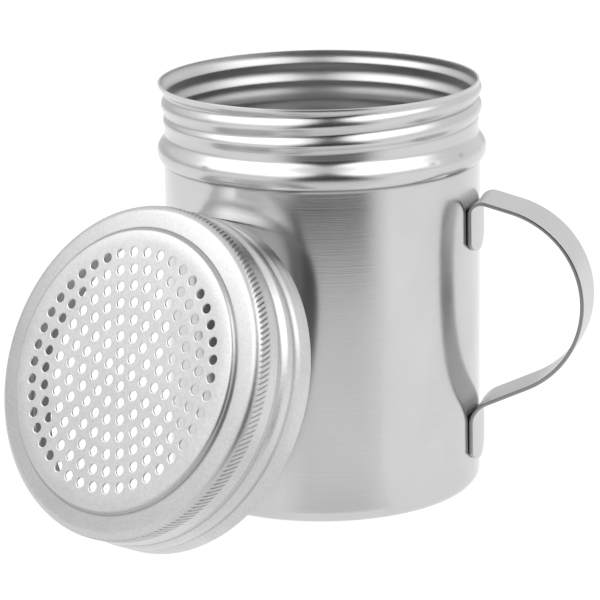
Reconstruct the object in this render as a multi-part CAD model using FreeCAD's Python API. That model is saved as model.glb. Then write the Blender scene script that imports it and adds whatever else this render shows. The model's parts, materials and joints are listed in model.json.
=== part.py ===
import FreeCAD, Part
import math
import os

# Sugar dredger: a drawn stainless-steel can with a welded strip handle, and its perforated screw lid,
# which is off and leans against the can. Lengths are in millimetres and angles in degrees.
# Frame: the origin is the centre of the can's underside, +Z is up, and the handle stands out along +X.

# Sheet metal
sheet = 0.6                     # the can and the lid are drawn from one gauge of sheet
strip = 1.1                     # the handle's heavier strip
cut_overrun = 1.0               # how far a cutting tool runs past what it cuts

# Can: the lines below follow the outside of its sheet
body_radius = 44.8
rim_height = 117.4
foot_bend = 3.4                 # outside radius between underside and wall
neck_out = 0.05                 # the neck's middle line stands out from the wall by this
bead_out = 1.8                  # so does the widest line of the shoulder bead
bead_drop = 19.1                # rim down to the bead's widest line
bead_rise = 4.1                 # the bead's widest line up to the neck
bead_fall = 3.2                 # the bead's widest line down to the wall
bead_bend = 1.5                 # radius of the bead's bends
thread_height = 0.5             # room for the rolled thread, outside the neck's middle line
neck_radius = body_radius + neck_out
bead_radius = body_radius + bead_out

# Handle: one strip, bent in the XZ plane
handle_width = 16.6
bow_radius = 27.25              # centre line of the strip round the bow
bow_offset = 4.65               # can's wall out to the bow's centre
bow_height = 56.95              # underside up to the bow's centre
bow_start = 14.9                # how far the upper run slopes down, away from the can
bow_end = 154.9                 # how far the strip has turned at the bow's lower end
upper_bend = 3.0                # centre-line radius of the bend between the upper run and its tab
lower_bend = 7.0                # the same between the lower run and its tab
root_lap = 1.0                  # flat stretch between a bend and its tab's curved face
tab_length = 12.2               # each tab's stretch that lies on the can
tab_arch = 12.0                 # radius of the arched free end of each tab

# Lid: the lines below follow the outside of its sheet, with heights from its open hem
lid_depth = 23.0                # hem up to the perforated panel
panel_rise = 1.7                # the panel stands this far above the shoulder ring
panel_bend = 0.8
step_run = 0.3                  # the step's wall leans out by this much
ring_fall = 0.35                # the shoulder ring's outer edge lies this much lower than its inner edge
shoulder_bend = 2.6             # rounding between the ring and the grip band
shoulder_width = 7.0            # the ring between the step and the grip band, with its rounding
grip_depth = 11.0               # panel down to where the skirt starts to widen
grip_inset = 0.6                # the knurled band is set in from the skirt by this
flare_run = 2.8                 # height over which the skirt widens
hem_out = 0.3                   # the open hem is wider than the skirt by this
thread_clearance = 0.3          # inside of the skirt to the crests of the neck's thread
skirt_radius = neck_radius + thread_height + thread_clearance + sheet
grip_radius = skirt_radius - grip_inset
hem_radius = skirt_radius + hem_out
panel_radius = grip_radius - shoulder_width

# Lid's perforation: one hole in the middle, then rings of 6, 12, 18 and so on
hole_diameter = 2.8
ring_count = 7
hole_margin = 6.6               # the panel's edge in to the centres of the outer ring's holes
ring_step = 6                   # holes that each ring has more than the ring inside it
ring_turn = 49.2                # first hole of each ring, from the lid's own X axis

# Where the lid leans
lean_place = -114.2             # which side of the can it stands on, seen from above
lean_heading = -115.7           # where its face looks, seen from above
lean_tilt = 23.5                # how far its face looks up
lean_gap = 0.32                 # hem to the can's wall

V = FreeCAD.Vector
AXIS = V(0, 0, 1)


def unit(degrees):
    """The direction in the XZ plane at an angle from +X towards +Z."""
    turn = math.radians(degrees)
    return V(math.cos(turn), 0, math.sin(turn))


def rounded_line(corners):
    """An open line in the XZ plane through (x, z, bend radius) corners: straight runs joined by arcs."""
    points = [V(x, 0, z) for x, z, bend in corners]
    edges = []
    start = points[0]
    for before, corner, after, (x, z, bend) in zip(points, points[1:], points[2:], corners[1:]):
        back = (before - corner).normalize()
        ahead = (after - corner).normalize()
        half_angle = back.getAngle(ahead) / 2
        reach = bend / math.tan(half_angle)
        middle = (back + ahead).normalize() * (bend / math.sin(half_angle) - bend)
        edges.append(Part.LineSegment(start, corner + back * reach).toShape())
        edges.append(Part.Arc(corner + back * reach, corner + middle, corner + ahead * reach).toShape())
        start = corner + ahead * reach
    edges.append(Part.LineSegment(start, points[-1]).toShape())
    return Part.Wire(edges)


def revolved_sheet(corners):
    """A round shell of sheet metal: the outside line, thickened inwards and turned about the Z axis."""
    section = rounded_line(corners).makeOffset2D(sheet, 0, True, True)
    face = section if section.ShapeType == "Face" else section.Faces[0]
    return face.revolve(V(0, 0, 0), AXIS, 360)


def make_can():
    """The drawn cup, from the middle of its underside up to the plain rim."""
    bead_top = rim_height - bead_drop + bead_rise
    bead_widest = rim_height - bead_drop
    bead_foot = bead_widest - bead_fall
    return revolved_sheet([
        (0, 0, 0),
        (body_radius, 0, foot_bend),
        (body_radius, bead_foot, bead_bend / 2),
        (bead_radius, bead_widest - bead_bend / 2, bead_bend / 2),
        (bead_radius, bead_widest + bead_bend / 2, bead_bend),
        (neck_radius, bead_top, bead_bend),
        (neck_radius, rim_height, 0)])


def make_tab(top):
    """One tab, curved round the can, from its bend at the top down to its arched free end."""
    half_width = handle_width / 2
    foot = top - tab_length
    corner = foot + tab_arch - math.sqrt(tab_arch ** 2 - half_width ** 2)
    arch = Part.Arc(V(0, -half_width, corner), V(0, 0, foot), V(0, half_width, corner)).toShape()
    sides = Part.makePolygon([
        V(0, half_width, corner), V(0, half_width, top), V(0, -half_width, top), V(0, -half_width, corner)])
    blank = Part.Face(Part.Wire([arch] + sides.Edges)).extrude(V(body_radius + strip + cut_overrun, 0, 0))
    wall = Part.makeCylinder(body_radius + strip, rim_height).cut(Part.makeCylinder(body_radius, rim_height))
    return blank.common(wall)


def make_handle():
    """The bent strip: a round bow, two straight runs tangent to it, and the two tabs that are welded on."""
    centre = V(body_radius + bow_offset, 0, bow_height)
    line = body_radius + strip / 2
    upper_end = centre + unit(90 - bow_start) * bow_radius
    lower_end = centre + unit(90 - bow_end) * bow_radius
    far_side = centre + unit(0) * bow_radius
    upper_root = upper_end.z + (upper_end.x - line) * math.tan(math.radians(bow_start))
    lower_root = lower_end.z - (lower_end.x - line) * math.tan(math.radians(180 - bow_end))
    upper_tab = upper_root - upper_bend / math.tan(math.radians(90 - bow_start) / 2)
    lower_tab = lower_root - lower_bend / math.tan(math.radians(270 - bow_end) / 2)
    upper_run = rounded_line([
        (line, upper_tab - root_lap, 0), (line, upper_root, upper_bend), (upper_end.x, upper_end.z, 0)])
    bow = Part.Arc(upper_end, far_side, lower_end).toShape()
    lower_run = rounded_line([
        (lower_end.x, lower_end.z, 0), (line, lower_root, lower_bend), (line, lower_tab - root_lap, 0)])
    middle = Part.Wire(upper_run.Edges + [bow] + lower_run.Edges)
    section = middle.makeOffset2D(-strip / 2, 0, False, True)
    face = section.makeOffset2D(strip, 0, True, True).Faces[0]
    face.translate(V(0, -handle_width / 2, 0))
    bent_strip = face.extrude(V(0, handle_width, 0))
    return bent_strip.fuse([make_tab(upper_tab), make_tab(lower_tab)]).removeSplitter()


def make_lid():
    """The pressed lid in its own frame: its axis is Z, with the open hem at the bottom."""
    ring_height = lid_depth - panel_rise
    grip_foot = lid_depth - grip_depth
    shell = revolved_sheet([
        (hem_radius, 0, 0),
        (skirt_radius, grip_foot - flare_run, flare_run / 2),
        (grip_radius, grip_foot, flare_run / 2),
        (grip_radius, ring_height - ring_fall, shoulder_bend),
        (panel_radius + step_run, ring_height, panel_bend / 2),
        (panel_radius, lid_depth, panel_bend),
        (0, lid_depth, 0)])
    return shell.cut(Part.makeCompound(hole_tools()))


def hole_tools():
    """A pin for every hole of the perforated panel, ring by ring."""
    height = sheet + 2 * cut_overrun
    foot = lid_depth - sheet - cut_overrun
    ring_pitch = (panel_radius - hole_margin) / ring_count
    pins = [Part.makeCylinder(hole_diameter / 2, height, V(0, 0, foot))]
    for ring in range(1, ring_count + 1):
        count = ring_step * ring
        for number in range(count):
            turn = math.radians(ring_turn + 360 * number / count)
            place = V(ring * ring_pitch * math.cos(turn), ring * ring_pitch * math.sin(turn), foot)
            pins.append(Part.makeCylinder(hole_diameter / 2, height, place))
    return pins


def lean(lid):
    """Stands the lid on its hem, with its face looking out and up and its upper hem against the can."""
    place = math.radians(lean_place)
    heading = math.radians(lean_heading)
    tilt = math.radians(lean_tilt)
    side = V(-math.sin(heading), math.cos(heading), 0)
    face = V(math.cos(heading), math.sin(heading), 0) * math.cos(tilt) + AXIS * math.sin(tilt)
    rise = face.cross(side)
    distance = body_radius + lean_gap + hem_radius * math.sin(tilt)
    centre = V(math.cos(place), math.sin(place), 0) * distance + AXIS * hem_radius * math.cos(tilt)
    lid.Placement = FreeCAD.Placement(FreeCAD.Matrix(
        side.x, rise.x, face.x, centre.x,
        side.y, rise.y, face.y, centre.y,
        side.z, rise.z, face.z, centre.z,
        0, 0, 0, 1))
    return lid


parts = {"can": make_can(), "handle": make_handle(), "lid": lean(make_lid())}
os.makedirs("parts", exist_ok=True)
for name, shape in parts.items():
    shape.exportStep(os.path.join("parts", name + ".step"))
    print(name, "solids", len(shape.Solids), "volume", round(shape.Volume, 1), "valid", shape.isValid())
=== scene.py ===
import json
import math

import bmesh
import bpy
import numpy as np
from mathutils import Matrix, Vector


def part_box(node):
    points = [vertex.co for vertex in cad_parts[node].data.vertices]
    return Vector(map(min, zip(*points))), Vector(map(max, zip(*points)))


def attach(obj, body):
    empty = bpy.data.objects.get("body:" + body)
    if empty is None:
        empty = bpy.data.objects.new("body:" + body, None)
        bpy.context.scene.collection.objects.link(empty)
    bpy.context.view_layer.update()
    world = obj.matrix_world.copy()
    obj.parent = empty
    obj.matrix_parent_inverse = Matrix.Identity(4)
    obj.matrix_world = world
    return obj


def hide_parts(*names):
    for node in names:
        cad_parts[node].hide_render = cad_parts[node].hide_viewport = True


# Sugar dredger: a drawn steel can with a screw neck and a strip handle, and its lid, which leans on it.
# Lengths are in millimetres and angles in degrees, until add_piece turns them into metres.
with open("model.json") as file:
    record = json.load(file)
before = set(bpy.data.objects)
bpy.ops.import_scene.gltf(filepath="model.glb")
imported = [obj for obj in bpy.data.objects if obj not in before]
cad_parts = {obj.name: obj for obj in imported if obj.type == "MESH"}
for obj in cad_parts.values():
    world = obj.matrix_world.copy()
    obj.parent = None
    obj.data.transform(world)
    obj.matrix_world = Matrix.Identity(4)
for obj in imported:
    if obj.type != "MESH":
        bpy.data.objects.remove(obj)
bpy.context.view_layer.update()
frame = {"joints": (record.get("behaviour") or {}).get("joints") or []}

MM = 0.001
weld_distance = 1e-4            # points nearer than this are merged
sharp_angle = 30.0              # edges between faces that meet at more than this stay sharp

# Sheet metal
sheet = 0.6
strip = 1.1
edge_round = 0.1                # rounding of a cut edge of sheet

# Can
can_corner = np.array(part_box("can")[1]) / MM
rim_height = can_corner[2]
bead_radius = can_corner[0]
bead_out = 1.8
body_radius = bead_radius - bead_out
foot_bend = 3.4
groove_in = 0.5                 # the neck between the thread's crests is set in from the wall by this
groove_radius = body_radius - groove_in
bead_drop = 19.1                # rim down to the widest line of the bead
bead_rise = 4.8                 # from there up to the neck
bead_power = 1.15               # above 1, the bead stays wide for longer on its way up
bead_fall = 3.3                 # from its widest line down to the crease
crease_out = 0.1                # the bead's lower end stands out this far from the wall
crease_blend = 0.9              # height over which the wall leans out to it
can_columns = 288
underside_rows = 7              # points along each stretch of the can's line
foot_rows = 10
wall_rows = 23
crease_rows = 3
under_rows = 14
upper_rows = 19
neck_rows = 71

# Neck thread: one start, right-handed, which climbs faster on the photograph's side than behind
photo_side = -74.5              # direction of the photograph's camera, from +X
thread_lead = 5.4
first_crest = 4.33              # rim down to the upper crest on the photograph's side
climb_swing = 0.77              # how far the climb runs ahead and behind of an even one
climb_middle = 20.0             # degrees to the viewer's right where it is fastest
back_lift = 0.35                # the crests lie this much higher behind
crest_height = 1.05
crest_power = 0.72              # below 1, the grooves are tighter than the crests
fade_start = 9.7                # rim down to where the thread begins to run out, on average
fade_swing = 0.3
fade_middle = -90.0             # it runs on longest at this many degrees to the viewer's right
fade_length = 3.6
fade_back = (1.9, 2.2)          # it starts to run out this much higher behind, over this much more
rim_out = 0.35                  # the rim stands out from the groove by this
rim_flare = 1.45                # and by this much more on the viewer's left
rim_flare_middle = -87.0
rim_blend = (0.2, 2.7)          # drops between which the rim gives way to the thread

# Marks on the can: degrees to the viewer's right, and how far below the rim
dents = ((41.5, 17.5), (56.5, 17.2), (-44.0, 18.1))
dent_size = (1.3, 0.5)          # degrees and millimetres to where a dent is down to a third
dent_depth = 0.14
dark_patch = (55.0, 21.9)            # a darker stretch of the crease
dark_patch_size = (7.0, 0.7)
# Painted shade, from 0 to 1: darker lines in the thread's grooves and along the crease, a painted shadow at
# the foot, and painted shade in the dents
shade_reach = 0.3                # half the width of the painted shade line in a groove
crease_shade_reach = 0.5
foot_shadow_reach = 0.55
thread_shade = 0.6               # how much painted shade lies in the thread's grooves in front, from 0 to 1
thread_shade_swing = 0.4         # and how much more to the viewer's right, or less to the left
foot_shadow = 0.6
dent_shade = 0.5
# how dark the darker stretch of the crease gets, from 0 to 1
dark_patch_darkness = 0.8

# Handle
handle_width = 16.6
bow_radius = 27.25              # centre line of the strip round the bow
bow_offset = 4.65               # can's wall out to the bow's centre
bow_height = 56.95              # underside up to the bow's centre
bow_start = 14.9                # how far the upper run slopes down
bow_end = 154.9                 # how far the strip has turned at the bow's lower end
upper_bend = 3.0                # centre-line radius of the bend beside the upper tab
lower_bend = 7.0
tab_length = 12.2
tab_arch = 12.0                 # radius of the arched free end of each tab
tab_curl = 66.0                 # the tabs are curved a little less than the wall
arch_reach = 8.0                # the tabs' rows are arched over this length
skew_share = 0.022              # the strip's lower end is welded on this much out of line
strip_round = 0.22              # rounding of the strip's long edges
tab_rows = 16                   # points along each stretch of the strip, and across it
bend_rows = 17
bow_rows = 100
width_points = 21
edge_points = 5

# Lid
lid_depth = 23.0
panel_rise = 1.7
margin_start = 34.5             # the panel's margin bows down from this radius
margin_fall = 0.16
panel_bend = 1.2
step_run = 0.3                  # the step's wall leans out by this much
step_bend = 0.35
ring_fall = 0.35                # the shoulder ring's outer edge lies this much lower than its inner edge
shoulder_bend = 2.6
shoulder_width = 7.0
grip_inset = 0.6                # the grip band is set in from the skirt by this
hem_out = 0.3                   # the open hem is wider than the skirt by this
skirt_radius = 46.25
grip_radius = skirt_radius - grip_inset
hem_radius = skirt_radius + hem_out
panel_radius = grip_radius - shoulder_width
flare_drop = (11.0, 13.8)       # panel down to where the skirt widens below the grip band
hem_flare_drop = (18.0, 22.5)   # and to where it widens again towards the hem
margin_rows = 6                 # points along each stretch of the lid's line
panel_bend_rows = 8
step_bend_rows = 5
shoulder_rows = 12
nick_rows = 6
grip_foot_drops = (7.7, 8.6)    # panel down to two more rows between the nicks and the skirt
skirt_drops = (9.0, 19.2)       # panel down to the first and the last row of the skirt
skirt_rows = 36
hem_drops = (20.0, 21.5)
inside_steps = (2, 3, 2, 1)     # rows of the outside for each of the inside: top, grip band, skirt and hem

# Lid's knurl: slanting nicks round the grip band
nick_count = 189
nick_columns = 4
nick_depth = 0.2
nick_half_share = 0.2           # half width of a nick, as a share of the spacing
nick_end_share = 0.2            # it deepens at each end over this share of its length
nick_drop = (3.0, 7.4)          # panel down to the ends of the nicks
nick_slant = 0.818              # degrees round the lid, per millimetre towards the hem

# Lid's rolled thread
lid_thread_lead = 5.3
lid_thread_drop = 12.0          # panel down to the groove's middle at lid_thread_turn
lid_thread_turn = 85.0          # clockwise from the lid's top, seen from the front
lid_thread_depth = 0.6
lid_thread_sides = (2.0, 2.2)   # widths of the groove's near and far sides
lid_thread_start = (10.0, 10.7)     # drops between which it deepens, and then ends
lid_thread_end = (17.9, 18.9)
lid_thread_passes = 3

# Lid's holes
hole_radius = 1.4
hole_roll = 0.22                # width of the rolled edge round a hole
hole_sink = 0.09                # how far the rolled edge dips
roll_lead = 0.05                # flat rim round the rolled edge
roll_middle_shares = (0.4, 0.3)     # where the roll's middle is, of its width and of its dip
back_edge = (0.06, 0.05)        # the hole's back edge slopes by this much, across and along the hole
ring_count = 7
hole_margin = 6.6               # the panel's edge in to the centres of the outer ring's holes
ring_step = 6                   # holes that each ring has more than the ring inside it
ring_turn = 49.2                # first hole of each ring, from the lid's own X axis
ring_pitch = (panel_radius - hole_margin) / ring_count
side_points = 7                 # points along each side of a hole's cell
# Points along a cell's outer arc, ring by ring. The middle cell is round, and has six times the first number
arc_points = (4, 8, 6, 8, 10, 12, 14, 9)

# Painted shade on the lid, from 0 to 1: in the nicks, the thread's groove, along the step and the panel's
# bend, over the shoulder ring and inside
nick_side_shade = 0.35
lid_groove_shade = 0.5
step_shade = 0.7
bend_shade = 0.35
bend_shade_in = 0.3              # the painted shade line on the panel's bend lies this far inside its edge
ring_shade = 0.15                # the shoulder ring is painted darker than the panel, which dims the highlight it reflects
inside_shade = 0.65

# Finishes: greys, roughnesses, cells of noise to the millimetre along each axis, and heights of relief
can_grey = 0.583
can_darkening_share = 0.55           # how much darker the steel is where its darkening mark is full
can_rough = 0.18
can_line_cells = (0.03, 0.03, 4.5)
can_smudge_cells = (0.05, 0.05, 0.03)
can_line_height = 0.011
handle_grey = 0.57
handle_edge_share = 0.5         # how much darker the sheared edges are
handle_rough = 0.3
handle_grain_cells = (0.35, 2.2, 0.35)
handle_smudge_cells = (0.09, 0.09, 0.09)
handle_grain_height = 0.004
lid_grey = 0.62
# how much darker the lid is where its painted shade is full
lid_darkening_share = 0.72
lid_rough = 0.36
lid_grain_cells = (1.5, 1.5, 1.5)
lid_line_cells = (0.08, 0.08, 2.4)
lid_smudge_cells = (0.05, 0.05, 0.05)
lid_grain_height = 0.012

# Studio
floor_size = 12000.0
floor_grey = 0.08
floor_rough = 0.9
floor_glow = 0.98
surround = 0.95                 # brightness of the studio all round
# Each soft box's name, degrees to the viewer's right, degrees up, width, height, brightness and soft edge
soft_boxes = (
    ("left", -60.0, 47.5, 2600.0, 1250.0, 1.7, 0.36),
    ("right", 57.0, 47.5, 2180.0, 1250.0, 1.65, 0.36),
    ("fill", -84.0, 45.0, 2400.0, 1950.0, 0.4, 0.5))
box_distance = 1500.0           # from the middle of the can's foot
stage_points = 41               # across the dark sheet and round the card
stage_lift = 1.0                # both start this far above the floor
dark_middle = 4.5               # degrees to the viewer's right
dark_reach = (50.0, 150.0, 350.0, 1100.0)   # distances from the can's axis
dark_half = (23.5, 32.0, 41.5, 33.0)        # half of the dark sheet's width there, in degrees
dark_edge_share = 0.5           # it darkens from the floor's brightness over this share of its half width
foot_shade = (50.0, 95.0)       # over these reaches its darkness, a painted shadow of the floor round the can's foot as the steel reflects it, falls from foot_share to near_share
foot_share = 0.18
near_share = 0.08
dark_rise = (315.0, 397.0)      # and over these it rises to all of it
dark_peak = 64.0                # degrees up to the top of its raised far side
peak_share = 0.93               # how dark that is, of the rest
dark_glow = 0.01
card_sides = (-205.0, -78.0)    # degrees to the viewer's right, between which the grey card stands
card_rise = 17.0                # degrees up to its top, seen from the can's foot
card_glow = 0.7

# Where the lid leans
lid_axis = Vector(frame["joints"][0]["axis"])
lean_place = -114.2             # which side of the can it stands on
lean_gap = 0.32                 # its hem to the can's wall

# Camera, fitted to the photograph
photo_pixels = 600
pixels_per_mm = 3.47539
view_turn = photo_side + 90     # degrees from +Y towards -X
view_pitch = 15.078             # degrees down
view_roll = -0.7615
view_distance = 837.05          # camera to the aim, which is on the can's axis
aim_height = 55.0
aim_offset = (23.81, -8.25)     # pixels from the picture's middle to the aim, right and down
sensor_width = 36.0
sight_limit = 50.0              # metres


def smooth(low, high, value):
    """A step from 0 at low to 1 at high with level ends: 3t² - 2t³ of the clipped share t of the way."""
    share = np.clip((value - low) / (high - low), 0, 1)
    return share * share * (3 - 2 * share)


def arc(centre, radius, start, end, count):
    """Points at even angles on a circle in the plane of radius and height, as a (count, 2) array."""
    turn = np.radians(np.linspace(start, end, count))
    return np.column_stack([centre[0] + radius * np.cos(turn), centre[1] + radius * np.sin(turn)])


def stretch(start, end, count):
    """Points at even steps from start to end, without the start, as a (count, 2) array."""
    return np.linspace(start, end, count + 1)[1:]


def round_points(radius, turn, height):
    """Points from their distance from the Z axis, their direction in degrees and their height."""
    angle = np.radians(turn)
    return np.stack(np.broadcast_arrays(radius * np.cos(angle), radius * np.sin(angle), height), axis=-1)


def offset_line(line, distance):
    """The line moved to its right by a distance, along the normals of its smoothed direction."""
    along = np.gradient(line, axis=0)
    along /= np.linalg.norm(along, axis=1, keepdims=True)
    return line + distance * np.column_stack([along[:, 1], -along[:, 0]])


def grid_faces(rows, columns, closed=True):
    """Quads between neighbouring points of a grid that is stored row by row."""
    row = np.arange(rows - 1)[:, None]
    column = np.arange(columns if closed else columns - 1)[None, :]
    here = row * columns + column
    beside = row * columns + (column + 1) % columns
    return np.stack([here, beside, beside + columns, here + columns], axis=-1).reshape(-1, 4)


def row_faces(counts):
    """Faces between neighbouring closed rows of points, which are stored row by row.

    Where a row has twice the points of its neighbour, a face takes two steps on it for one on the other.
    """
    faces = []
    first = 0
    for count, following in zip(counts, counts[1:]):
        step = np.arange(min(count, following))[:, None]
        stride = count // len(step)
        next_stride = following // len(step)
        here = (step * stride + np.arange(stride + 1)) % count
        there = (step * next_stride + np.arange(next_stride, -1, -1)) % following
        faces += np.hstack([first + here, first + count + there]).tolist()
        first += count
    return faces


def add_piece(name, points, faces, body, nodes, material, marks):
    """A mesh piece from points in millimetres and faces: welded, facing outwards, sharp past sharp_angle.

    The marks are numbers for each point, by name, which the piece's material reads.
    """
    mesh = bpy.data.meshes.new(name)
    mesh.from_pydata((points * MM).tolist(), [], faces)
    for mark, values in marks.items():
        mesh.attributes.new(mark, "FLOAT", "POINT").data.foreach_set("value", np.ravel(values))
    work = bmesh.new()
    work.from_mesh(mesh)
    bmesh.ops.remove_doubles(work, verts=work.verts, dist=weld_distance * MM)
    bmesh.ops.recalc_face_normals(work, faces=work.faces)
    work.to_mesh(mesh)
    work.free()
    mesh.polygons.foreach_set("use_smooth", np.ones(len(mesh.polygons), dtype=bool))
    mesh.set_sharp_from_angle(angle=math.radians(sharp_angle))
    mesh.materials.append(material)
    piece = bpy.data.objects.new(name, mesh)
    bpy.context.scene.collection.objects.link(piece)
    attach(piece, body)
    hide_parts(*nodes)


class Shade:
    """One number worked out in a shader. Arithmetic on it adds Math nodes to its finish."""

    def __init__(self, finish, socket):
        self.finish = finish
        self.socket = socket

    def combined(self, operation, first, second=0.0):
        made = self.finish.node("ShaderNodeMath", {"operation": operation}, {0: first, 1: second})
        return Shade(self.finish, made.outputs[0])

    def __add__(self, other):
        return self.combined("ADD", self, other)

    def __sub__(self, other):
        return self.combined("SUBTRACT", self, other)

    def __rsub__(self, other):
        return self.combined("SUBTRACT", other, self)

    def __mul__(self, other):
        return self.combined("MULTIPLY", self, other)

    def __abs__(self):
        return self.combined("ABSOLUTE", self)

    __radd__ = __add__
    __rmul__ = __mul__

    def over(self, low, high):
        """0 below low, 1 above high, and a smooth step between them."""
        sockets = {"Value": self, "From Min": low, "From Max": high}
        made = self.finish.node("ShaderNodeMapRange", {"interpolation_type": "SMOOTHSTEP"}, sockets)
        return Shade(self.finish, made.outputs["Result"])


class Nodes:
    """Builds up a node tree: every node comes from node(), and numbers come out as Shades."""

    def __init__(self, tree):
        self.tree = tree

    def node(self, kind, settings=None, sockets=None):
        """Adds a node of a kind: first its settings, then a value or a link for each socket named."""
        made = self.tree.nodes.new(kind)
        for name, value in (settings or {}).items():
            setattr(made, name, value)
        self.feed(made, sockets or {})
        return made

    def feed(self, made, sockets):
        """Gives a node's sockets their values or links."""
        for name, value in sockets.items():
            source = value.socket if isinstance(value, Shade) else value
            if isinstance(source, bpy.types.NodeSocket):
                self.tree.links.new(source, made.inputs[name])
            else:
                made.inputs[name].default_value = source

    def split(self, vector):
        """The three numbers of a vector."""
        parts = self.node("ShaderNodeSeparateXYZ", None, {0: vector})
        return [Shade(self, socket) for socket in parts.outputs]

    def mark(self, name):
        """A number that the mesh gives for each of its points."""
        return Shade(self, self.node("ShaderNodeAttribute", {"attribute_name": name}).outputs["Fac"])

    def noise(self, vector, cells, detail=3.0, roughness=0.5):
        """Smooth noise about 0, within about half a unit, of so many cells to the millimetre on each axis."""
        spread = self.node("ShaderNodeVectorMath", {"operation": "MULTIPLY"}, {0: vector, 1: cells})
        sockets = {"Vector": spread.outputs[0], "Scale": 1.0, "Detail": detail, "Roughness": roughness}
        return Shade(self, self.node("ShaderNodeTexNoise", None, sockets).outputs[0]) - 0.5

    def grey(self, amount):
        """A colour that is one grey, by a number."""
        joined = self.node("ShaderNodeCombineColor", None, {0: amount, 1: amount, 2: amount})
        return joined.outputs[0]

    def bump(self, height, distance):
        """A normal pushed about by a height, of which one unit stands for a distance in millimetres."""
        return self.node("ShaderNodeBump", None, {"Height": height, "Distance": distance * MM}).outputs[0]


class Finish(Nodes):
    """A material in the making: a Principled surface, and nodes that read places and marks to feed it."""

    def __init__(self, name):
        self.material = bpy.data.materials.new(name)
        self.material.use_nodes = True
        super().__init__(self.material.node_tree)
        self.surface = self.tree.nodes["Principled BSDF"]

    def turned(self, matrix):
        """Object coordinates in millimetres, moved and turned into a piece's own axes."""
        place = self.node("ShaderNodeTexCoord").outputs["Object"]
        sockets = {0: place, 1: (1 / MM,) * 3}
        scaled = self.node("ShaderNodeVectorMath", {"operation": "MULTIPLY"}, sockets).outputs[0]
        inverse = matrix.inverted()
        sockets = {"Vector": scaled, "Location": inverse.translation, "Rotation": inverse.to_euler()}
        return self.node("ShaderNodeMapping", {"vector_type": "POINT"}, sockets).outputs[0]


def can_line():
    """The outside of the can's sheet, from the middle of its underside to its rim, without the thread.

    A flat underside, a quarter circle at the foot, the straight wall, a parabola to the crease, a quarter
    ellipse under the bead, a half wave that falls away above it, and the straight neck.
    """
    bead_height = rim_height - bead_drop
    crease_height = bead_height - bead_fall
    neck_foot = bead_height + bead_rise
    underside = stretch((0, 0), (body_radius - foot_bend, 0), underside_rows)
    foot = arc((body_radius - foot_bend, foot_bend), foot_bend, -90, 0, foot_rows + 1)[1:]
    wall = stretch((body_radius, foot_bend), (body_radius, crease_height - crease_blend), wall_rows)
    blend = np.linspace(0, 1, crease_rows + 2)[1:-1]
    crease = np.column_stack([
        body_radius + crease_out * blend ** 2,
        crease_height - crease_blend * (1 - blend)])
    turn = np.radians(np.linspace(90, 0, under_rows))
    under = np.column_stack([
        body_radius + crease_out + (bead_out - crease_out) * np.cos(turn),
        bead_height - bead_fall * np.sin(turn)])
    climb = np.linspace(0, 1, upper_rows + 1)[1:]
    wave = 0.5 + 0.5 * np.cos(math.pi * climb ** bead_power)
    upper = np.column_stack([
        groove_radius + (bead_radius - groove_radius) * wave,
        bead_height + bead_rise * climb])
    neck = stretch((groove_radius, neck_foot), (groove_radius, rim_height - edge_round), neck_rows)
    return np.concatenate([[(0, 0)], underside, foot, wall, crease, under, upper, neck])


def bell_curve(distance, reach=shade_reach):
    """A bell curve, 1 on a crease and falling with the distance from it: the shape of the painted shade lines
    and spots.
    """
    return np.exp(-(distance / reach) ** 2)


def spot(side, drop, centre, size):
    """A soft spot on the can: a bell curve of the side times one of the drop, 1 at its centre."""
    return bell_curve(side - centre[0], size[0]) * bell_curve(drop - centre[1], size[1])


def neck_thread(side, drop):
    """How far the rolled neck stands out from its groove, and the painted shade in its groove, at a side and
    a drop from the rim.

    A power of a raised cosine across the crests of one helix, whose drop falls evenly with the turn, less
    a sine and a squared half-angle sine. It runs out below, and blends into the flared rim above.
    """
    across = np.radians(side)
    crest = first_crest - thread_lead * side / 360 - back_lift * np.sin(across / 2) ** 2
    crest = crest - climb_swing * np.sin(across - math.radians(climb_middle))
    turns = (drop - crest) / thread_lead
    behind = np.sin(across / 2) ** 2
    fade_from = fade_start + fade_swing * np.cos(across - math.radians(fade_middle)) - fade_back[0] * behind
    full = 1 - smooth(fade_from, fade_from + fade_length + fade_back[1] * behind, drop)
    thread = crest_height * (0.5 + 0.5 * np.cos(2 * math.pi * turns)) ** crest_power * full
    rim = rim_out + rim_flare * (0.5 + 0.5 * np.cos(across - math.radians(rim_flare_middle))) ** 2
    low = smooth(*rim_blend, drop)
    level = thread_shade + thread_shade_swing * np.sin(across)
    darkening = level * bell_curve((turns % 1 - 0.5) * thread_lead) * full * low
    return rim * (1 - low) + thread * low, darkening


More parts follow.
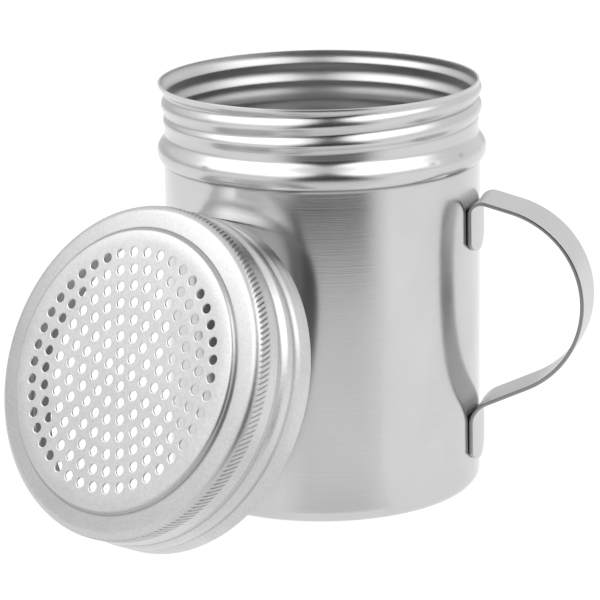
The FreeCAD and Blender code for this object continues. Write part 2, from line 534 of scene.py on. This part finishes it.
def make_can(material):
    """The drawn can: its outside line and its inside line, a sheet apart, turned about the Z axis."""
    outside = can_line()
    inside = offset_line(outside, -sheet)
    inside[:, 0] = np.clip(inside[:, 0], 0, None)
    inside[0] = (0, sheet)
    inside[-1] = (outside[-1, 0] - sheet, outside[-1, 1])
    rim = [(groove_radius - depth, rim_height) for depth in (edge_round, sheet / 2, sheet - edge_round)]
    line = np.concatenate([outside, rim, inside[::-1]])
    turn = np.arange(can_columns)[None, :] * 360 / can_columns
    side = (turn - photo_side + 180) % 360 - 180
    height = np.broadcast_to(line[:, 1:], (len(line), can_columns))
    drop = rim_height - height
    on_neck = drop < bead_drop - bead_rise + edge_round
    thread, groove_shade = neck_thread(side, drop)
    dent = sum(spot(side, drop, place, dent_size) for place in dents)
    radius = line[:, :1] + on_neck * thread - dent_depth * dent
    # Darkening mark: painted shade in the thread's grooves, along the crease and in the dents, a painted
    # shadow at the foot, and a darker stretch of the crease
    darkening = np.max([
        on_neck * groove_shade,
        bell_curve(drop - bead_drop - bead_fall, crease_shade_reach),
        foot_shadow * bell_curve(height, foot_shadow_reach),
        dent_shade * dent,
        dark_patch_darkness * spot(side, drop, dark_patch, dark_patch_size)], axis=0)
    inner = (np.arange(len(line)) > len(outside) + 1)[:, None] * np.ones(can_columns)
    marks = {"inner": inner, "darkening": darkening * (1 - inner)}
    points = round_points(radius, turn, height).reshape(-1, 3)
    faces = grid_faces(len(line), can_columns).tolist()
    add_piece("can_shell", points, faces, "can", ["can"], material, marks)


def handle_line():
    """The middle line of the strip in the XZ plane, from the upper tab's free end to the lower one's.

    A tab, a root bend, a straight run, the round bow, a run, the other root bend and a tab, each tangent
    to the next. The columns are X, Z, the direction that it runs in, in degrees, how far it is curved to
    fit the can, from 1 on a tab to 0 past its bend, and the distance from the nearer free end.
    """
    centre = np.array([body_radius + bow_offset, bow_height])
    line = body_radius + strip / 2
    upper_end, lower_end = arc(centre, bow_radius, 90 - bow_start, 90 - bow_end, 2)
    upper_root = upper_end[1] + (upper_end[0] - line) * math.tan(math.radians(bow_start))
    lower_root = lower_end[1] - (lower_end[0] - line) * math.tan(math.radians(180 - bow_end))
    upper_tab = upper_root - upper_bend / math.tan(math.radians(90 - bow_start) / 2)
    lower_tab = lower_root - lower_bend / math.tan(math.radians(270 - bow_end) / 2)
    tab_reach = np.linspace(10 * edge_round, tab_length, tab_rows)
    reach = np.concatenate([[0, 0, edge_round, 3 * edge_round], tab_reach])
    flat = np.ones(len(reach))
    upper = np.column_stack([line * flat, upper_tab - tab_length + reach, 90 * flat, flat, reach])
    lower = np.column_stack([line * flat, lower_tab - tab_length + reach, -90 * flat, flat, reach])
    share = np.linspace(0, 1, bend_rows + 1)[1:]
    curved = 1 - smooth(0, 1, share)
    bend_up = arc((line + upper_bend, upper_tab), upper_bend, 180, 90 - bow_start, bend_rows + 1)[1:]
    bend_low = arc((line + lower_bend, lower_tab), lower_bend, 180, 270 - bow_end, bend_rows + 1)[1:]
    past = np.full(bend_rows, tab_length)
    first = np.column_stack([bend_up, 90 - share * (90 + bow_start), curved, past])
    last = np.column_stack([bend_low, -90 - share * (bow_end - 90), curved, past])
    round_bow = arc(centre, bow_radius, 90 - bow_start, 90 - bow_end, bow_rows)
    runs = np.linspace(-bow_start, -bow_end, bow_rows)
    bow = np.column_stack([round_bow, runs, np.zeros(bow_rows), np.full(bow_rows, tab_length)])
    return np.concatenate([upper, first, bow, last[::-1], lower[::-1]])


def make_handle(material):
    """The strip: a rounded rectangle carried along the middle line, curved to the can on the tabs.

    On a tab the rows are arched like its free end, by the height of a circle of the arch's radius over
    the width, which fades out over the arch's reach. The strip's lower end stands out of line by a
    share of the height.
    """
    line = handle_line()
    rows = len(line)
    thick = np.ones(rows)
    thick[[0, -1]] = 0
    thick[[1, -2]] = 1 - 2 * edge_round / strip
    flat = np.linspace(1, -1, width_points)
    turn = np.radians(np.linspace(90, -90, edge_points + 2)[1:-1])
    # A closed loop round the section: across the outer side, round one edge, and back across the inner side
    across = np.concatenate([flat, np.full(edge_points, -1.0), flat[::-1], np.full(edge_points, 1.0)])
    out = np.concatenate([0 * flat, np.cos(turn), 0 * flat, np.cos(turn)])
    through = np.concatenate([1 + 0 * flat, np.sin(turn), -1 + 0 * flat, -np.sin(turn)])
    width = across * (handle_width / 2 - strip_round + out * strip_round)
    depth = through[None, :] * thick[:, None] * strip / 2
    direction = np.radians(line[:, 2:3])
    arched = 1 - smooth(0, arch_reach, line[:, 4:5])
    rise = arched * (tab_arch - np.sqrt(tab_arch ** 2 - width ** 2))[None, :]
    x = line[:, :1] + np.sin(direction) * depth
    z = line[:, 1:2] - np.cos(direction) * depth + rise
    y = width[None, :] + skew_share * (bow_height - z)
    x = x - line[:, 3:4] * (tab_curl - np.sqrt(tab_curl ** 2 - y ** 2))
    points = np.stack([x, y, z], axis=-1).reshape(-1, 3)
    marks = {"edge": np.tile((out > 0).astype(float), rows)}
    faces = grid_faces(rows, len(across)).tolist()
    add_piece("handle_strip", points, faces, "can", ["handle"], material, marks)


def lid_place():
    """The lid's own axes: X to its side, Y up its face, Z out of its face, and origin in its open hem."""
    face = lid_axis.normalized()
    side = Vector((-face.y, face.x, 0)).normalized()
    rise = face.cross(side)
    distance = body_radius + lean_gap + hem_radius * face.z
    turn = math.radians(lean_place)
    centre = Vector((distance * math.cos(turn), distance * math.sin(turn), hem_radius * rise.z))
    place = Matrix((side, rise, face)).transposed().to_4x4()
    place.translation = centre
    return place


def lid_line():
    """The outside of the lid's sheet from the perforated field to the hem, with heights from the panel.

    A shallow parabola and a bend at the panel's edge, a step, a sloping ring, a quarter circle to the
    grip band, and a skirt and a hem that widen smoothly. It comes in four stretches: the top down to the
    shoulder's end, the grip band, the skirt and the hem.
    """
    across = np.linspace(0, 1, margin_rows)
    edge_start = panel_radius - panel_bend
    margin = np.column_stack([
        margin_start + (edge_start - margin_start) * across,
        -margin_fall * across ** 2])
    step_turn = math.degrees(math.atan2(step_run, panel_rise))
    edge_centre = (edge_start, -margin_fall - panel_bend)
    panel_edge = arc(edge_centre, panel_bend, 90, step_turn, panel_bend_rows + 1)[1:]
    foot_centre = (panel_radius + step_run + step_bend, -panel_rise + step_bend)
    ring_slope = math.degrees(math.atan2(ring_fall, shoulder_width - shoulder_bend))
    step_foot = arc(foot_centre, step_bend, 180 + step_turn, 270 - ring_slope, step_bend_rows)
    outwards = (1, -math.tan(math.radians(ring_slope)))
    near_foot = step_foot[-1] + np.outer([shade_reach, 3 * shade_reach], outwards)
    grip_top = panel_rise + ring_fall + shoulder_bend
    shoulder_centre = (grip_radius - shoulder_bend, -grip_top)
    shoulder = arc(shoulder_centre, shoulder_bend, 90 - ring_slope, 0, shoulder_rows)
    nicked = stretch((grip_radius, -grip_top), (grip_radius, -nick_drop[1]), nick_rows)
    grip_foot = [(grip_radius, -drop) for drop in grip_foot_drops]
    drops = np.linspace(*skirt_drops, skirt_rows)
    skirt = np.column_stack([skirt_radius - grip_inset * (1 - smooth(*flare_drop, drops)), -drops])
    drops = np.append(hem_drops, lid_depth - edge_round)
    hem = np.column_stack([skirt_radius + hem_out * smooth(*hem_flare_drop, drops), -drops])
    top = np.concatenate([margin, panel_edge, step_foot, near_foot, shoulder])
    return top, np.concatenate([nicked, grip_foot]), skirt, hem


def lid_thread(turn, drop):
    """How deep the rolled thread is, and the painted shade in its groove, at a direction clockwise from the
    top and a drop.

    The sum over the passes of one helical groove of a raised cosine, steeper on the side near the panel.
    """
    depth = 0
    darkening = 0
    for number in range(lid_thread_passes):
        middle = lid_thread_drop + lid_thread_lead * ((turn - lid_thread_turn) / 360 + number)
        near, far = lid_thread_sides
        share = np.clip(np.where(drop < middle, (middle - drop) / near, (drop - middle) / far), 0, 1)
        ends = smooth(*lid_thread_start, middle) * (1 - smooth(*lid_thread_end, middle))
        depth = depth + ends * (0.5 + 0.5 * np.cos(math.pi * share))
        darkening = darkening + ends * bell_curve(drop - middle)
    return lid_thread_depth * depth, darkening


def lid_shell(columns):
    """Points of the lid round its perforated field: outside line, hem and inside line, turned about Z.

    The columns slant with the nicks across the grip band, and gather at each nick's bottom. The second
    array is each point's painted shade, from 0 to 1: in the nicks, the thread's groove, along the creases,
    over the shoulder ring and on the inside.
    The third says which rows cross the nicks.
    """
    stretches = lid_line()
    line = np.concatenate(stretches)
    radius = line[:, :1]
    drop = -line[:, 1:]
    rows = len(line)
    number = np.arange(1, columns + 1)
    phase = number % nick_columns
    uneven_share = np.array([0, nick_half_share, 0.5, 1 - nick_half_share])
    nudge = (uneven_share[phase] - phase / nick_columns) * 360 / nick_count
    shear = nick_slant * (np.clip(drop, *nick_drop) - nick_drop[0])
    turn = ring_turn + number * 360 / columns + smooth(panel_rise, nick_drop[0], drop) * nudge + shear
    within = np.clip((drop - nick_drop[0]) / (nick_drop[1] - nick_drop[0]), 0, 1)
    bite = smooth(0, nick_end_share, np.minimum(within, 1 - within))
    clockwise = (90 - turn) % 360
    groove, groove_shade = lid_thread(clockwise, drop)
    outside = radius - groove - nick_depth * bite * (phase == 0)
    ends = np.cumsum([0] + [len(part) for part in stretches])
    keep = np.concatenate([np.arange(*span) for span in zip(ends, ends[1:], inside_steps)])[::-1]
    inner_line = offset_line(line, sheet)[keep]
    inside = inner_line[:, :1] - lid_thread(clockwise[keep], -inner_line[:, 1:])[0]
    hem = np.full((2, columns), radius[-1]) - [[edge_round], [sheet - edge_round]]
    all_radius = np.concatenate([outside, hem, inside])
    all_turn = np.concatenate([turn, turn[-1:], turn[-1:], turn[keep]])
    height = lid_depth + np.concatenate([line[:, 1], [-lid_depth, -lid_depth], inner_line[:, 1]])
    above = drop < panel_bend
    on_ring = ~above & (drop < panel_rise + ring_fall + shoulder_bend)
    # Painted shade in the nicks, the thread's groove, along the step and the panel's bend, and over the
    # shoulder ring; the inside has it all over
    shades = [
        bite * np.array([1, nick_side_shade, 0, nick_side_shade])[phase],
        lid_groove_shade * groove_shade,
        step_shade * bell_curve(radius - panel_radius - step_run, crease_shade_reach) * ~above,
        bend_shade * bell_curve(radius - panel_radius + bend_shade_in, crease_shade_reach) * above,
        ring_shade * on_ring]
    darkening = np.full(all_turn.shape, inside_shade)
    darkening[:rows] = np.max(np.broadcast_arrays(*shades), axis=0)
    nicked_rows = np.append(bite > 0, np.zeros(len(height) - rows, dtype=bool))
    return round_points(all_radius, all_turn, height[:, None]), darkening, nicked_rows


def cell_edge(ring):
    """The edge of one hole's cell, as (radius, degrees from the hole's direction) points round it.

    A cell is a piece of a ring: along its inner arc, out along a side, back along its outer arc and in.
    """
    if ring == 0:
        count = ring_step * arc_points[0]
        return np.column_stack([np.full(count, ring_pitch / 2), np.arange(count) * 360 / count])
    half = 180 / (ring_step * ring)
    inner_count = arc_points[0] if ring == 1 else arc_points[ring - 1] * (ring - 1) // ring
    outer_count = arc_points[ring]
    low = (ring - 0.5) * ring_pitch
    high = (ring + 0.5) * ring_pitch
    inner = np.linspace(-half, half, inner_count + 1)[:-1]
    side = np.linspace(low, high, side_points + 1)[:-1]
    outer = np.linspace(half, -half, outer_count + 1)[:-1]
    return np.concatenate([
        np.column_stack([np.full(inner_count, low), inner]),
        np.column_stack([side, np.full(side_points, half)]),
        np.column_stack([np.full(outer_count, high), outer]),
        np.column_stack([side[::-1] + ring_pitch / side_points, np.full(side_points, -half)])])


def ring_cells(ring):
    """Points and faces of all the cells of one ring of holes.

    Each cell is a grid: its edge on top, a flat rim, the rolled edge of the hole, the wall of the hole,
    its back edge, and the cell's edge again on the back of the sheet. Round the hole, each point lies
    halfway between the direction of its point on the cell's edge and that of an even step.
    """
    edge = cell_edge(ring)
    turn = np.radians(edge[:, 1])
    hole_at = ring * ring_pitch
    x = edge[:, 0] * np.cos(turn) - hole_at
    y = edge[:, 0] * np.sin(turn)
    seen = np.unwrap(np.arctan2(y, x))
    count = len(edge)
    even = seen[0] + np.sign(seen[-1] - seen[0]) * np.arange(count) * 2 * math.pi / count
    circle = (seen + even) / 2
    middle_out = hole_roll * roll_middle_shares[0]
    middle_sink = hole_sink * roll_middle_shares[1]
    radii = hole_radius + np.array([hole_roll + roll_lead, hole_roll, middle_out, 0, 0, back_edge[0]])
    sinks = [0, 0, middle_sink, hole_sink, sheet - back_edge[1], sheet]
    rows_x = np.concatenate([x[None], radii[:, None] * np.cos(circle), x[None]])
    rows_y = np.concatenate([y[None], radii[:, None] * np.sin(circle), y[None]])
    rows_z = lid_depth - np.array([0, *sinks, sheet])
    rows = len(rows_z)
    copies = max(1, ring_step * ring)
    heading = np.radians(ring_turn + np.arange(copies) * 360 / copies)[:, None, None]
    flat_x = rows_x[None] + hole_at
    lid_x = flat_x * np.cos(heading) - rows_y[None] * np.sin(heading)
    lid_y = flat_x * np.sin(heading) + rows_y[None] * np.cos(heading)
    lid_z = np.broadcast_to(rows_z[None, :, None], lid_x.shape)
    points = np.stack([lid_x, lid_y, lid_z], axis=-1).reshape(-1, 3)
    one = grid_faces(rows, count)
    faces = (one[None] + (np.arange(copies) * rows * count)[:, None, None]).reshape(-1, 4)
    return points, faces


def make_lid(material):
    """The pressed lid: the cells of its holes, and the shell round them, placed where the lid leans."""
    columns = nick_count * nick_columns
    shell, darkening, nicked_rows = lid_shell(columns)
    field_turn = ring_turn + np.arange(1, columns + 1) * 360 / columns
    top = round_points((ring_count + 0.5) * ring_pitch, field_turn, lid_depth)
    back = top - (0, 0, sheet)
    clean = np.zeros(columns)
    # Only the rows that cross the nicks need every column
    steps = [2] + [1 if nicked else 2 for nicked in nicked_rows] + [2]
    points = [row[::step] for row, step in zip([top, *shell, back], steps)]
    marks = np.concatenate([row[::step] for row, step in zip([clean, *darkening, clean], steps)])
    faces = row_faces([len(row) for row in points])
    total = len(marks)
    for ring in range(ring_count + 1):
        cell_points, cell_faces = ring_cells(ring)
        points.append(cell_points)
        faces += (cell_faces + total).tolist()
        total += len(cell_points)
    place = np.array(lid_place())
    points = np.concatenate(points) @ place[:3, :3].T + place[:3, 3]
    marks = {"darkening": np.append(marks, np.zeros(total - len(marks)))}
    add_piece("lid_shell", points, faces, "lid", ["lid"], material, marks)


def can_steel():
    """Fine turned lines round a satin wall, a few faint smudges, painted shade in the creases, the dents and
    at the foot, and a duller inside.
    """
    finish = Finish("can_steel")
    place = finish.turned(Matrix.Identity(4))
    inner = finish.mark("inner")
    darkening = finish.mark("darkening")
    neck = finish.split(place)[2].over(rim_height - bead_drop - bead_fall, rim_height - bead_drop)
    lines = finish.noise(place, can_line_cells, detail=4.0, roughness=0.65)
    smudge = finish.noise(place, can_smudge_cells, detail=4.0)
    grey = (can_grey + 0.07 * lines + 0.12 * smudge) * (1 - can_darkening_share * darkening)
    rough = can_rough + 0.04 * lines + 0.06 * smudge + 0.06 * neck + 0.16 * inner
    finish.feed(finish.surface, {
        "Base Color": finish.grey(grey), "Metallic": 1.0, "Roughness": rough, "Anisotropic": 0.5,
        "Anisotropic Rotation": 0.25, "Normal": finish.bump(lines, can_line_height)})
    return finish.material


def handle_steel():
    """Satin strip, brushed along its length, with a fine grain and darker sheared edges."""
    finish = Finish("handle_steel")
    place = finish.turned(Matrix.Identity(4))
    edge = finish.mark("edge")
    grain = finish.noise(place, handle_grain_cells, detail=4.0, roughness=0.65)
    smudge = finish.noise(place, handle_smudge_cells)
    grey = (handle_grey + 0.09 * grain + 0.07 * smudge) * (1 - handle_edge_share * edge)
    rough = handle_rough + 0.06 * grain + 0.05 * smudge
    finish.feed(finish.surface, {
        "Base Color": finish.grey(grey), "Metallic": 1.0, "Roughness": rough,
        "Normal": finish.bump(grain, handle_grain_height)})
    return finish.material


def lid_steel():
    """A pressed face with a fine grain, faint lines round the skirt, and painted shade in the nicks, the
    creases and inside.
    """
    finish = Finish("lid_steel")
    place = finish.turned(lid_place())
    darkening = finish.mark("darkening")
    grain = finish.noise(place, lid_grain_cells, detail=4.0, roughness=0.7)
    lines = finish.noise(place, lid_line_cells)
    smudge = finish.noise(place, lid_smudge_cells)
    grey = (lid_grey + 0.3 * grain + 0.05 * lines + 0.06 * smudge) * (1 - lid_darkening_share * darkening)
    rough = lid_rough + 0.12 * grain + 0.06 * smudge
    finish.feed(finish.surface, {
        "Base Color": finish.grey(grey), "Metallic": 1.0, "Roughness": rough,
        "Normal": finish.bump(grain, lid_grain_height)})
    return finish.material


def stage_sheet(name, points, faces, grey, glow, darkness=None):
    """A plain sheet of the backdrop, in millimetres: a dull paint of a grey, and a dim glow.

    The darkness is a number for each point: the glow falls from the floor's at 0 to its own at 1.
    """
    finish = Finish(name)
    mesh = bpy.data.meshes.new(name)
    mesh.from_pydata((np.array(points) * MM).tolist(), [], np.array(faces).tolist())
    colour = (glow, glow, glow, 1)
    if darkness is not None:
        mesh.attributes.new("darkness", "FLOAT", "POINT").data.foreach_set("value", darkness)
        colour = finish.grey(floor_glow - (floor_glow - glow) * finish.mark("darkness"))
    finish.feed(finish.surface, {
        "Base Color": (grey, grey, grey, 1), "Roughness": floor_rough, "Specular IOR Level": 0.0,
        "Emission Color": colour, "Emission Strength": 1.0})
    mesh.materials.append(finish.material)
    sheet_object = bpy.data.objects.new(name, mesh)
    bpy.context.scene.collection.objects.link(sheet_object)
    return sheet_object


def make_stage():
    """A plain pale floor, and the dark studio and a grey card, which only the steel's reflections see.

    The dark sheet lies on the floor in front of the can, and its far side stands up to a peak above the
    camera: seen from the can, the angle up to it falls evenly to both sides of the peak. The card stands
    on a circle round the can.
    """
    half = floor_size / 2
    corners = [(-half, -half, 0), (half, -half, 0), (half, half, 0), (-half, half, 0)]
    stage_sheet("floor", corners, [(0, 1, 2, 3)], floor_grey, floor_glow)
    across = np.linspace(-1, 1, stage_points)
    inward = 1 - np.abs(across)
    dark_far = dark_reach[-1]
    rows = 2 * stage_points + 1
    reach = np.append(np.linspace(dark_reach[0], dark_far, rows - 1), dark_far)[:, None]
    turn = photo_side + dark_middle + across * np.interp(reach, dark_reach, dark_half)
    height = np.full((rows, stage_points), stage_lift)
    height[-1] += dark_far * np.tan(np.radians(dark_peak * inward))
    darkness = near_share + (1 - near_share) * smooth(*dark_rise, reach)
    darkness = darkness + (foot_share - near_share) * (1 - smooth(*foot_shade, reach))
    darkness = darkness * smooth(0, dark_edge_share, inward)
    darkness[-1] *= peak_share
    points = round_points(reach, turn, height).reshape(-1, 3)
    faces = grid_faces(rows, stage_points, closed=False)
    dark = stage_sheet("dark_studio", points, faces, 0, dark_glow, darkness.ravel())
    foot = round_points(dark_far, photo_side + np.linspace(*card_sides, stage_points), stage_lift)
    top = foot + (0, 0, dark_far * math.tan(math.radians(card_rise)))
    faces = grid_faces(2, stage_points, closed=False)
    card = stage_sheet("grey_card", np.concatenate([foot, top]), faces, 0, card_glow)
    for only_reflected in (dark, card):
        only_reflected.visible_camera = False
        only_reflected.visible_diffuse = False
        only_reflected.visible_shadow = False


def soften_edges(light, edge_share):
    """Lets a soft box fall off over a share of its size at each edge, by coordinates of its own, 0 to 1."""
    light.use_nodes = True
    nodes = Nodes(light.node_tree)
    across = nodes.split(nodes.node("ShaderNodeNewGeometry").outputs["Parametric"])[:2]
    glow = 1.0
    for share in across:
        glow = glow * (0.5 - abs(share - 0.5)).over(0.0, edge_share)
    nodes.feed(nodes.tree.nodes["Emission"], {"Strength": glow})


def make_light():
    """An even pale surround, a soft box to each side above the camera, and a dimmer one on the far left."""
    world = bpy.data.worlds.new("studio")
    world.use_nodes = True
    nodes = Nodes(world.node_tree)
    nodes.feed(nodes.tree.nodes["Background"], {"Color": (1, 1, 1, 1), "Strength": surround})
    bpy.context.scene.world = world
    for name, side, height, width, tall, brightness, edge_share in soft_boxes:
        light = bpy.data.lights.new("soft_box_" + name, "AREA")
        light.shape = "RECTANGLE"
        light.size = width * MM
        light.size_y = tall * MM
        light.energy = brightness * math.pi * width * tall * MM * MM
        soften_edges(light, edge_share)
        rise = math.radians(height)
        direction = Vector(round_points(math.cos(rise), photo_side + side, math.sin(rise)))
        box = bpy.data.objects.new(light.name, light)
        box.location = direction * box_distance * MM
        box.rotation_euler = direction.to_track_quat("Z", "Y").to_euler()
        bpy.context.scene.collection.objects.link(box)


def make_camera():
    """The photograph's view: a long lens from a little above, turned and rolled as it was."""
    turn = Matrix.Rotation(math.radians(view_turn), 3, "Z")
    pitch = math.radians(view_pitch)
    ahead = turn @ Vector((0, math.cos(pitch), -math.sin(pitch)))
    level = turn @ Vector((1, 0, 0))
    upright = turn @ Vector((0, math.sin(pitch), math.cos(pitch)))
    roll = math.radians(view_roll)
    right = level * math.cos(roll) + upright * math.sin(roll)
    up = upright * math.cos(roll) - level * math.sin(roll)
    camera = bpy.data.cameras.new("camera")
    camera.sensor_width = sensor_width
    camera.lens = pixels_per_mm * view_distance * sensor_width / photo_pixels
    camera.shift_x = -aim_offset[0] / photo_pixels
    camera.shift_y = aim_offset[1] / photo_pixels
    camera.clip_end = sight_limit
    holder = bpy.data.objects.new("camera", camera)
    place = Matrix((right, up, -ahead)).transposed().to_4x4()
    place.translation = (Vector((0, 0, aim_height)) - ahead * view_distance) * MM
    holder.matrix_world = place
    bpy.context.scene.collection.objects.link(holder)
    bpy.context.scene.camera = holder


make_can(can_steel())
make_handle(handle_steel())
make_lid(lid_steel())
make_stage()
make_light()
make_camera()
bpy.context.scene.view_settings.view_transform = "Standard"
